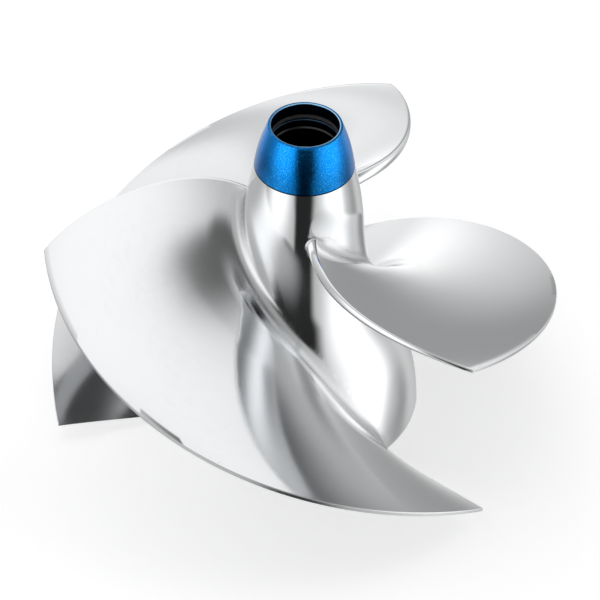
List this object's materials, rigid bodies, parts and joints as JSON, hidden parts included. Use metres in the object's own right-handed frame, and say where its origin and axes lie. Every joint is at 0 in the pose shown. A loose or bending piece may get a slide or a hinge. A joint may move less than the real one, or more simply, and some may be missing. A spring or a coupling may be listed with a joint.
{
  "type": "jet pump impeller",
  "caption": "Swirl-bladed jet-pump impeller with a bell-shaped hub, splined shaft socket, tapped rear boss and a removable blue anodised nose ring.",
  "frame": {"origin": "centre of the hub's rear face, on the shaft axis", "axes": "+Z along the shaft axis towards the nose; the first blade's leading edge reaches out along -X"},
  "size_m": [0.159, 0.159, 0.1112],
  "materials": {
    "polished_steel": "polished",
    "blue_anodised": "satin anodised",
    "black_rubber": "matt"
  },
  "bodies": {
    "casting": {"hub": "polished_steel", "blade_1": "polished_steel", "blade_2": "polished_steel", "blade_3": "polished_steel", "spigot_seal": "black_rubber"},
    "nose_ring": {"nose_ring": "blue_anodised", "shaft_seal": "black_rubber"},
    "spline_bumper": {"spline_bumper": "black_rubber"}
  },
  "joints": [
    {"name": "nose_ring_slide", "type": "slide", "parent": "casting", "child": "nose_ring", "axis": [0, 0, 1], "range_m": [0, 0.02]},
    {"name": "spline_bumper_slide", "type": "slide", "parent": "casting", "child": "spline_bumper", "axis": [0, 0, 1], "range_m": [0, 0.064]}
  ]
}
